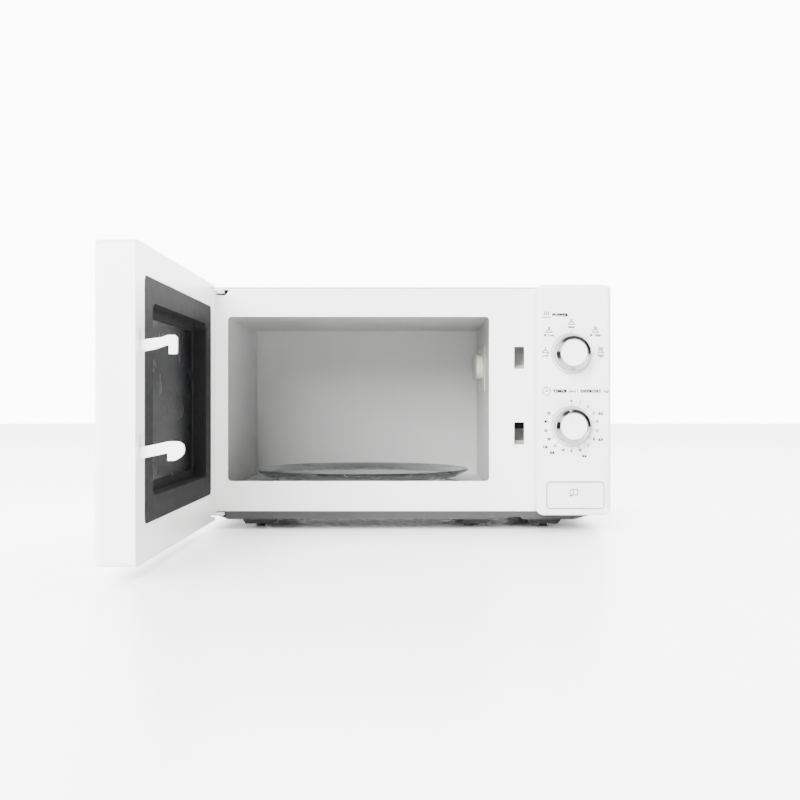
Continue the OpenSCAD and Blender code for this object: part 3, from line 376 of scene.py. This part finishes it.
@dataclass(frozen=True)
class PerforatedSheet(Finish):
    """Black painted steel sheet with a square field of round holes."""

    pitch_mm: float = 2.0
    hole_mm: float = 1.3

    def output(self, tree: Tree, shader: bpy.types.Node) -> Socket:
        """Cuts the holes out of the sheet with a transparent pattern."""
        scaled = tree.add(
            "ShaderNodeVectorMath", {"operation": "SCALE"}, {0: tree.place(), "Scale": 1 / (self.pitch_mm * MM)}
        ).outputs[0]
        cell = tree.add("ShaderNodeVectorMath", {"operation": "FRACTION"}, {0: scaled}).outputs[0]
        centred = tree.add("ShaderNodeVectorMath", {"operation": "SUBTRACT"}, {0: cell, 1: (0.5, 0.5, 0.5)}).outputs[0]
        flat = tree.add("ShaderNodeVectorMath", {"operation": "MULTIPLY"}, {0: centred, 1: (0, 1, 1)}).outputs[0]
        away = tree.add("ShaderNodeVectorMath", {"operation": "LENGTH"}, {0: flat}).outputs["Value"]
        hole = tree.add(
            "ShaderNodeMath", {"operation": "LESS_THAN"}, {0: away, 1: 0.5 * self.hole_mm / self.pitch_mm}
        ).outputs[0]
        through = tree.add("ShaderNodeBsdfTransparent").outputs[0]
        return tree.add("ShaderNodeMixShader", values={0: hole, 1: shader.outputs[0], 2: through}).outputs[0]


@dataclass(frozen=True)
class Banded(Finish):
    """Something built of thin layers or close turns, such as laminations or a winding."""

    shade: str = "#808080"
    band_mm: float = 0.5
    axis: Axis = Axis.Z
    depth_mm: float = 0.15

    def surface(self, tree: Tree, shader: bpy.types.Node) -> None:
        """Adds the layers as bands of colour and relief."""
        settings = {"wave_type": "BANDS", "bands_direction": self.axis.name}
        values = {"Vector": tree.place(), "Scale": 0.314 / (self.band_mm * MM), "Distortion": 0.3, "Detail": 1.0}
        bands = tree.add("ShaderNodeTexWave", settings, values).outputs["Fac"]
        self.link(
            tree, shader,
            Base_Color=tree.tint(bands, self.colour, self.shade),
            Normal=tree.relief(bands, self.depth_mm, 0.3),
        )


@dataclass(frozen=True)
class Ink(Finish):
    """Pad-printed ink: matt, with a slightly uneven gloss."""

    def surface(self, tree: Tree, shader: bpy.types.Node) -> None:
        """Adds the slightly uneven cover of a thin print."""
        shader.inputs["Specular IOR Level"].default_value = 0.1
        self.link(tree, shader, Roughness=tree.spread(tree.noise(0.8, 2.0), 0.45, 0.6))


# Painted steel of the cabinet and the front plate
WHITE_COAT = PowderCoat("powder_coat_white", "#F1F1EF", 0.32, shade="#F5F5F3")
# Grey oven paint inside the cavity, slightly rougher than the outside
OVEN_PAINT = PowderCoat("oven_paint_grey", "#B4B4B3", 0.36, shade="#BBBBBA", peel_mm=1.6)
# White ABS of the door frame, control panel and button
WHITE_ABS = Moulded("abs_white_satin", "#F2F2F0", 0.3, shade="#F6F6F4")
# Polished white plastic of the dials' faces
DIAL_WHITE = Moulded("abs_white_gloss", "#F4F4F3", 0.2, shade="#F7F7F6", grain_mm=0.6, depth_mm=0.004)
# Dark grey polypropylene of the choke cover
CHOKE_GREY = Moulded(
    "polypropylene_dark_grey", "#1C1C1D", 0.68, shade="#212122", grain_mm=0.5, depth_mm=0.02, gloss=0.06
)
# Natural acetal of levers, rollers and the coupler
ACETAL = Moulded("acetal_natural", "#E6E4DD", 0.38, shade="#ECEAE4", subsurface=0.1)
# Black and pale engineering plastic inside the machine bay
BLACK_NYLON = Moulded("nylon_black", "#0B0B0C", 0.6, shade="#121213", gloss=0.15)
PALE_NYLON = Moulded("nylon_pale", "#9B9A96", 0.45, shade="#A3A29E")
# Near-black, very rough sheet behind the lower slot: painted shade, a dark sheet that stands in for the shade inside
# the slot
SLOT_SHADE_SHEET = Moulded("slot_painted_shade_black", "#050505", 0.95, shade="#090909", gloss=0.02)
# Pressed zinc-coated steel, and the darker coated steel of the base
ZINC = ZincSheet("zinc_coated_sheet", "#8E9092", 0.42, 0.75)
BASE_ZINC = ZincSheet("zinc_coated_base", "#2F3030", 0.6, 0.1, shade="#353636")
# Satin chrome plating of the dials' rings, and brighter plating of the bezels
SATIN_CHROME = Turned("chrome_plated_satin", "#A2A2A5", 0.14, 1.0, shade="#B4B4B7")
BEZEL_CHROME = Turned("chrome_plated_bezel", "#D5D5D7", 0.3, 0.85, shade="#E4E4E6")
# Zinc-plated screws and springs
SCREW_STEEL = Turned("steel_zinc_plated", "#9A9B9D", 0.3, 1.0, shade="#B0B1B3")
# Drawn aluminium
ALUMINIUM = Turned("aluminium_drawn", "#B4B6B9", 0.32, 1.0, shade="#C6C8CA", axis=Axis.Z)
# Vulcanised rubber of the feet and the cord bush
RUBBER = Moulded("rubber_black", "#161617", 0.7, shade="#1E1E1F", grain_mm=0.7, depth_mm=0.04)
# Clear toughened glass of the tray, and thin glass of the lamp
TRAY_GLASS = ClearGlass("glass_toughened_clear", "#B4BDBA", 0.02, clear=0.2)
BULB_GLASS = ClearGlass("glass_lamp_clear", "#FBF8F0", 0.03)
# Dark tinted front pane and the smoked film inside the door
DARK_PANE = SmokedSheet("glass_dark_tinted", "#0A0B0C", 0.05, clear=0.15)
SMOKED_FILM = SmokedSheet("polyester_film_smoked", "#1B1C1E", 0.2, clear=0.25)
# Black painted screen with its holes
SCREEN = PerforatedSheet("steel_perforated_black", "#1A1A1B", 0.45)
# Grey painted steel panel of the door
PANEL_PAINT = PowderCoat("paint_grey_panel", "#4A4A4C", 0.4, shade="#505052")
# Varnished laminations, and enamelled copper wire
LAMINATIONS = Banded("laminated_steel_varnished", "#26272A", 0.45, 0.6, shade="#4A4B4F", axis=Axis.Y)
COPPER_WIRE = Banded("copper_wire_enamelled", "#7E3D18", 0.35, 0.8, shade="#C06A33", band_mm=0.9)
# Phlogopite mica sheet over the waveguide
MICA = Moulded("mica_sheet", "#D2CFC8", 0.5, shade="#C9C5BD", grain_mm=3.0, depth_mm=0.05)
# Glass-fibre circuit board
BOARD = Moulded("circuit_board_green", "#2E5A36", 0.4, shade="#376540")
# Dark grey pad print on the control panel and the button
INK = Ink("ink_grey", "#141416", 0.5)


# ---------------------------------------------------------------- building helpers


def dress(names: Iterable[str], finish: Finish) -> None:
    """Gives CAD nodes a finish.

    Args:
        names: the nodes.
        finish: what they are made of.
    """
    material = finish.build()
    for name in names:
        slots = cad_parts[name].data.materials
        slots.clear()
        slots.append(material)
        LOG.info("dressed %s in %s", name, finish.name)


def mesh_object(name: str, points: Sequence, faces: Sequence, finish: Finish, body: str) -> bpy.types.Object:
    """Makes a mesh piece that rides on a body.

    Args:
        name: the piece's name.
        points: its vertices, in metres in the row frame.
        faces: tuples of vertex numbers.
        finish: what it is made of.
        body: the CAD body that it moves with.

    Returns:
        The new object.
    """
    mesh = bpy.data.meshes.new(name)
    mesh.from_pydata([tuple(p) for p in points], [], list(faces))
    mesh.validate()
    mesh.materials.append(finish.build())
    obj = bpy.data.objects.new(name, mesh)
    bpy.context.scene.collection.objects.link(obj)
    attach(obj, body)
    LOG.info("built %s", name)
    return obj


@dataclass
class Print:
    """Pad printing on one upright face that looks to the front."""

    name: str
    x: float
    z: float
    y: float
    body: str = "cabinet"
    slot: str = "control_panel"
    thickness: float = INK_GAP_MM * MM
    step_deg: float = 12.0
    points: list[Place] = field(default_factory=list)
    faces: list[tuple[int, ...]] = field(default_factory=list)

    def stroke(self, path: Sequence[Point], width: float, closed: bool = False) -> None:
        """Adds a line of even width.

        Args:
            path: points in millimetres from the print's centre, right and up.
            width: the line's width in millimetres.
            closed: joins the last point to the first.
        """
        ends = list(path) + ([path[0]] if closed else [])
        for (ax, az), (bx, bz) in zip(ends, ends[1:]):
            run = Vector((bx - ax, bz - az))
            if run.length == 0:
                continue
            run.normalize()
            side = Vector((-run.y, run.x)) * width / 2
            tip = run * width / 2
            corners = (
                (ax + side.x - tip.x, az + side.y - tip.y), (bx + side.x + tip.x, bz + side.y + tip.y),
                (bx - side.x + tip.x, bz - side.y + tip.y), (ax - side.x - tip.x, az - side.y - tip.y),
            )
            first = len(self.points)
            self.points += [(self.x + px * MM, self.y - self.thickness, self.z + pz * MM) for px, pz in corners]
            self.faces.append((first, first + 1, first + 2, first + 3))

    def arc(self, centre: Point, radius: float, start: float, end: float, width: float) -> None:
        """Adds a round line.

        Args:
            centre: its centre in millimetres, right and up.
            radius: its radius in millimetres.
            start: where it starts, in degrees clockwise from the top.
            end: where it ends, in degrees clockwise from the top.
            width: the line's width in millimetres.
        """
        steps = max(4, int(abs(end - start) / self.step_deg))
        angles = [math.radians(start + (end - start) * i / steps) for i in range(steps + 1)]
        self.stroke([(centre[0] + radius * math.sin(a), centre[1] + radius * math.cos(a)) for a in angles], width)

    def make(self) -> bpy.types.Object:
        """Makes the printed piece.

        Returns:
            The new object.
        """
        return mesh_object(self.name, self.points, self.faces, INK, self.body)


def letter(
    name: str, text: str, x: float, y: float, z: float, height_mm: float, bold: float, spacing: float = 1.0
) -> None:
    """Prints a word or number on an upright face, struck twice a little apart.

    Args:
        name: the piece's name.
        text: generic lettering.
        x: middle of the word.
        y: the face that carries it.
        z: middle of the word's height.
        height_mm: height of a capital.
        bold: extra weight of the strokes in millimetres.
        spacing: distance between letters, against the usual one.
    """
    for strike, side in (("a", -0.5), ("b", 0.5)):
        curve = bpy.data.curves.new(f"{name}_{strike}", "FONT")
        curve.body = text
        curve.size = height_mm * MM / CAPITAL
        curve.align_x = "CENTER"
        curve.align_y = "CENTER"
        curve.offset = 0.5 * bold * MM
        curve.space_character = spacing
        curve.resolution_u = 4
        curve.materials.append(INK.build())
        obj = bpy.data.objects.new(f"{name}_{strike}", curve)
        bpy.context.scene.collection.objects.link(obj)
        place = Matrix.Translation((x + side * bold * MM, y - (INK_GAP_MM + STRIKE_GAP_MM * side) * MM, z))
        obj.matrix_world = place @ Matrix.Rotation(math.pi / 2, 4, "X")
        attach(obj, "cabinet")


# ---------------------------------------------------------------- sub-assemblies


@dataclass
class Cabinet:
    """The outer cover, front plate, base, rear panel and feet."""

    coated: tuple[str, ...] = ("cabinet_cover", "front_plate", "hinge_upper", "hinge_lower")

    def dress(self) -> None:
        """Gives the sheet metal and the feet their finishes."""
        dress(self.coated, WHITE_COAT)
        dress(["base_plate"], BASE_ZINC)
        dress(["rear_panel"], ZINC)
        dress(["rear_screws", "hinge_screws"], SCREW_STEEL)
        dress(["feet", "cord_gland"], RUBBER)


@dataclass
class Cavity:
    """The oven cavity with its waveguide cover and lamp."""

    def dress(self) -> None:
        """Paints the cavity and finishes what shows in it."""
        dress(["cavity_wrap", "cavity_floor", "cavity_back"], OVEN_PAINT)
        dress(["waveguide_cover"], MICA)
        dress(["lamp_bulb"], BULB_GLASS)
        dress(["lamp_holder", "waveguide"], ZINC)


@dataclass
class Turntable:
    """The glass tray, its roller ring and its drive."""

    def dress(self) -> None:
        """Finishes the glass and the plastic running gear."""
        dress(["glass_tray"], TRAY_GLASS)
        dress(["roller_ring", "roller_1", "roller_2", "roller_3", "drive_coupler"], ACETAL)
        dress(["turntable_motor"], ZINC)


@dataclass
class Door:
    """The door with its frame, choke cover, screen and hooks."""

    def dress(self) -> None:
        """Finishes the door's plastic, steel and glass."""
        dress(["door_frame", "latch_hooks"], WHITE_ABS)
        dress(["choke_cover"], CHOKE_GREY)
        dress(["door_window"], DARK_PANE)
        dress(["inner_film"], SMOKED_FILM)
        dress(["door_screen"], SCREEN)
        dress(["door_panel"], PANEL_PAINT)
        dress(["choke_channel"], ZINC)
        dress(["latch_spring"], SCREW_STEEL)


@dataclass
class Machinery:
    """Everything in the bay behind the control panel."""

    def dress(self) -> None:
        """Finishes the inner pieces, which show when the cover is taken off."""
        dress(["magnetron_frame", "capacitor_clamp"], ZINC)
        dress(["magnetron_core", "capacitor"], ALUMINIUM)
        dress(["transformer_core", "fan_motor"], LAMINATIONS)
        dress(["transformer_windings"], COPPER_WIRE)
        dress(["air_duct", "latch_board", "timer_unit"], PALE_NYLON)
        dress(["interlock_switches", "fan_blade"], BLACK_NYLON)
        # The slot shield is painted shade: a near-black sheet put in the lower slot where there is only shade
        dress(["slot_shield"], SLOT_SHADE_SHEET)
        dress(["release_lever", "button_arm", "power_shaft", "timer_shaft"], ACETAL)
        dress(["noise_filter"], BOARD)
        dress(["button_spring"], SCREW_STEEL)


@dataclass
class ControlPanel:
    """The control panel with its dials, button and printing."""

    timer_marks: tuple[str, ...] = (
        "0", "1", "2", "3", "4", "5", "6", "7", "8", "9", "10", "15", "20", "25", "30", "35",
    )
    step_deg: float = 20.0
    bold_mm: float = 0.46
    light_mm: float = 0.2
    symbol_left_mm: float = 26.2
    power_heading_mm: float = 40.4
    timer_heading_mm: float = 36.6
    weights: tuple[tuple[str, float, float], ...] = (
        ("0.2", 30.6, 13.1), ("0.4", 30.6, -14.3), ("0.6", 13.6, -31.3), ("0.8", -20.3, -27.8), ("1.0", -27.8, -21.8),
    )
    powers: tuple[tuple[str, str, int, float, float], ...] = (
        ("low", "Low", 1, -27.2, 0.6), ("medium_low", "M. Low", 2, -23.6, 22.0), ("medium", "Med", 2, 0.0, 30.4),
        ("medium_high", "M. High", 3, 25.0, 22.0), ("high", "High", 4, 30.6, 0.6),
    )

    def dress(self) -> None:
        """Finishes the mouldings and the plated rings."""
        dress(["control_panel", "push_button"], WHITE_ABS)
        dress(["power_knob", "timer_knob"], DIAL_WHITE)
        dress(["power_knob_ring", "timer_knob_ring"], SATIN_CHROME)
        dress(["knob_bezels"], BEZEL_CHROME)

    def build(self) -> None:
        """Prints the dials' marks, words and symbols."""
        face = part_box("control_panel")[0].y
        power = self.middle("power_knob")
        timer = self.middle("timer_knob")
        self.headings(face, power, timer)
        self.timer_scale(face, timer)
        self.power_symbols(face, power)
        self.button_symbol()

    @staticmethod
    def middle(node: str) -> Point:
        """Returns the X and Z of a node's middle.

        Args:
            node: the node's name.

        Returns:
            The place in metres.
        """
        low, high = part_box(node)
        return ((low.x + high.x) / 2, (low.z + high.z) / 2)

    def headings(self, face: float, power: Point, timer: Point) -> None:
        """Prints the words and symbols above each dial.

        Args:
            face: the panel's face.
            power: the middle of the power dial.
            timer: the middle of the timer dial.
        """
        z = power[1] + self.power_heading_mm * MM
        letter("word_power", "POWER", power[0] - 12.0 * MM, face, z, 3.0, self.bold_mm, 1.16)
        mark = Print("symbol_heat", power[0] - self.symbol_left_mm * MM, z, face)
        for dx in (-2.2, 0.0, 2.2):
            mark.stroke([(dx, 3.2), (dx + 0.6, 2.1), (dx - 0.4, 1.0), (dx, 0.0)], HEADING_LINE_MM)
        mark.stroke([(-4.2, -2.4), (4.2, -2.4)], HEADING_LINE_MM)
        mark.make()
        z = timer[1] + self.timer_heading_mm * MM
        for name, text, dx, size, bold in (
            ("word_timer", "TIMER", -12.0, 3.0, self.bold_mm), ("word_minutes", "(min)", 0.8, 2.2, self.light_mm),
            ("word_defrost", "DEFROST", 20.4, 3.0, self.bold_mm), ("word_weight", "(kg)", 36.2, 2.1, self.light_mm),
        ):
            letter(name, text, timer[0] + dx * MM, face, z, size, bold, 1.26 if bold > self.light_mm else 1.15)
        clock = Print("symbol_clock", timer[0] - self.symbol_left_mm * MM, z, face)
        clock.arc((0, 0), 4.1, 0, 360, SYMBOL_LINE_MM)
        clock.stroke([(0, 2.4), (0, 0), (1.8, 0)], SYMBOL_LINE_MM)
        clock.stroke([(32.8, 1.7), (32.8, -1.7)], TICK_LINE_MM)
        clock.make()

    def timer_scale(self, face: float, timer: Point) -> None:
        """Prints the minutes, the weights and their ticks.

        Args:
            face: the panel's face.
            timer: the middle of the timer dial.
        """
        ticks = Print("timer_ticks", timer[0], timer[1], face)
        for i, text in enumerate(self.timer_marks):
            angle = math.radians(i * self.step_deg)
            side, up = math.sin(angle), math.cos(angle)
            out = 26.4 + 0.9 * abs(side)
            letter(f"minute_{text}", text, timer[0] + out * side * MM, face, timer[1] + out * up * MM, 2.6, 0.3)
            ticks.stroke([(22.3 * side, 22.3 * up), (23.6 * side, 23.6 * up)], TICK_LINE_MM)
        ticks.make()
        for text, dx, dz in self.weights:
            letter(f"weight_{text}", text, timer[0] + dx * MM, face, timer[1] + dz * MM, 2.6, 0.36)

    def power_symbols(self, face: float, power: Point) -> None:
        """Prints a symbol and a word at each of the five power settings.

        Args:
            face: the panel's face.
            power: the middle of the power dial.
        """
        for name, text, waves, dx, dz in self.powers:
            letter(f"word_{name}", text, power[0] + dx * MM, face, power[1] + (dz - 2.8) * MM, 2.1, 0.24, 1.2)
            mark = Print(f"symbol_{name}", power[0] + dx * MM, power[1] + (dz + 2.4) * MM, face)
            for i in range(waves):
                x = (i - (waves - 1) / 2) * 1.4
                mark.stroke([(x, 3.6), (x + 0.3, 2.8), (x - 0.3, 2.0), (x, 1.2)], SYMBOL_LINE_MM)
            mark.arc((0, -2.2), 2.7, -90, 90, SYMBOL_LINE_MM)
            mark.stroke([(-3.3, -2.2), (3.3, -2.2)], SYMBOL_LINE_MM)
            mark.make()
        ticks = Print("power_ticks", power[0], power[1], face)
        for degrees in (-90, -45, 0, 45, 90):
            side, up = math.sin(math.radians(degrees)), math.cos(math.radians(degrees))
            ticks.stroke([(22.6 * side, 22.6 * up), (24.6 * side, 24.6 * up)], TICK_LINE_MM)
        ticks.make()

    def button_symbol(self) -> None:
        """Prints a small open door on the button."""
        low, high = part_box("push_button")
        middle = (low.x + high.x) / 2 - 1.5 * MM
        mark = Print("symbol_open", middle, (low.z + high.z) / 2 + 3.5 * MM, low.y, "button", "push_button")
        mark.stroke([(-3.6, -3.0), (3.4, -3.0), (3.4, 3.0), (-1.2, 3.0)], SYMBOL_LINE_MM)
        mark.stroke([(-1.2, 3.0), (-4.4, 1.6), (-4.4, -4.4), (-1.2, -3.0)], 0.7, True)
        mark.make()


@dataclass(frozen=True)
class SoftBox:
    """A square soft light that hangs in the studio."""

    name: str
    at: Place
    aim: Place
    size: float
    power: float
    mirrored: bool = True

    def hang(self) -> None:
        """Adds the light, aimed at its point."""
        light = bpy.data.lights.new(self.name, "AREA")
        light.energy = self.power
        light.size = self.size
        obj = bpy.data.objects.new(self.name, light)
        obj.location = self.at
        obj.rotation_euler = (Vector(self.aim) - Vector(self.at)).to_track_quat("-Z", "Y").to_euler()
        obj.visible_glossy = self.mirrored
        bpy.context.scene.collection.objects.link(obj)


@dataclass
class Studio:
    """The pale floor, the soft lights and the camera."""

    camera_at: Place = (0.0103, -1.398, 0.136)
    lens_mm: float = 52.02
    shift: Point = (-0.01375, 0.0031)
    even: float = 3.6
    wall: float = 0.2
    backdrop: float = 8.0
    side_dimming: float = 0.25
    floor_half: float = 6.0
    soft_boxes: tuple[SoftBox, ...] = (
        SoftBox("key", (-0.7, -2.6, 1.3), (0.0, -0.1, 0.12), 1.4, 225.0),
        SoftBox("fill", (-1.7, -1.5, 1.0), (-0.3, -0.3, 0.12), 1.6, 30.0),
        SoftBox("top", (0.0, 0.1, 2.4), (0.0, 0.0, 0.0), 2.2, 250.0, mirrored=False),
    )

    def build(self) -> None:
        """Builds the whole set."""
        self.floor()
        self.world()
        for box in self.soft_boxes:
            box.hang()
        self.camera()

    def floor(self) -> None:
        """Lays a large pale floor that isn't part of the oven."""
        mesh = bpy.data.meshes.new("floor")
        size = self.floor_half
        mesh.from_pydata([(-size, -size, 0), (size, -size, 0), (size, size, 0), (-size, size, 0)], [], [(0, 1, 2, 3)])
        mesh.materials.append(Moulded("paper_white", "#FAFAFA", 0.3, shade="#FDFDFD").build())
        obj = bpy.data.objects.new("floor", mesh)
        bpy.context.scene.collection.objects.link(obj)

    def world(self) -> None:
        """Surrounds the set with soft light: bright behind, dark above and dimmer at the right."""
        world = bpy.data.worlds.new("studio")
        bpy.context.scene.world = world
        world.use_nodes = True
        tree = Tree(world.node_tree)
        dark = self.lobe(tree, Vector((0.45, -0.28, 0.85)), (0.2, 0.5), (self.even, self.wall))
        behind = self.lobe(tree, Vector((0.0, 1.0, 0.0)), (0.45, 0.8), (0.0, self.backdrop))
        side = self.lobe(tree, Vector((1.0, -0.3, -0.15)), (0.3, 0.75), (1.0, self.side_dimming))
        total = tree.add("ShaderNodeMath", {"operation": "MULTIPLY_ADD"}, {0: dark, 1: side, 2: behind}).outputs[0]
        back = world.node_tree.nodes["Background"]
        back.inputs["Color"].default_value = (1.0, 1.0, 1.0, 1.0)
        world.node_tree.links.new(total, back.inputs["Strength"])

    @staticmethod
    def lobe(tree: Tree, towards: Vector, edge: Point, level: Point) -> Socket:
        """Returns a level that changes smoothly round one direction of the sky.

        Args:
            tree: the world's node tree.
            towards: the direction.
            edge: cosines between which the level changes.
            level: the level away from the direction, and towards it.

        Returns:
            The level's socket.
        """
        sky = tree.add("ShaderNodeTexCoord").outputs["Generated"]
        values = {0: sky, 1: tuple(towards.normalized())}
        cosine = tree.add("ShaderNodeVectorMath", {"operation": "DOT_PRODUCT"}, values).outputs["Value"]
        values = {"Value": cosine, "From Min": edge[0], "From Max": edge[1], "To Min": level[0], "To Max": level[1]}
        return tree.add("ShaderNodeMapRange", {"interpolation_type": "SMOOTHSTEP"}, values).outputs["Result"]

    def camera(self) -> None:
        """Sets the camera straight in front of the oven."""
        data = bpy.data.cameras.new("camera")
        data.lens = self.lens_mm
        data.sensor_width = 36.0
        data.shift_x, data.shift_y = self.shift
        obj = bpy.data.objects.new("camera", data)
        obj.location = self.camera_at
        obj.rotation_euler = (math.pi / 2, 0.0, 0.0)
        bpy.context.scene.collection.objects.link(obj)
        bpy.context.scene.camera = obj


def main() -> None:
    """Builds and dresses every sub-assembly in order."""
    logging.basicConfig(level=logging.INFO, format="%(name)s: %(message)s")
    panel = ControlPanel()
    for assembly in (Cabinet(), Cavity(), Turntable(), Door(), Machinery(), panel):
        assembly.dress()
    panel.build()
    Studio().build()


if __name__ == "__main__":
    main()
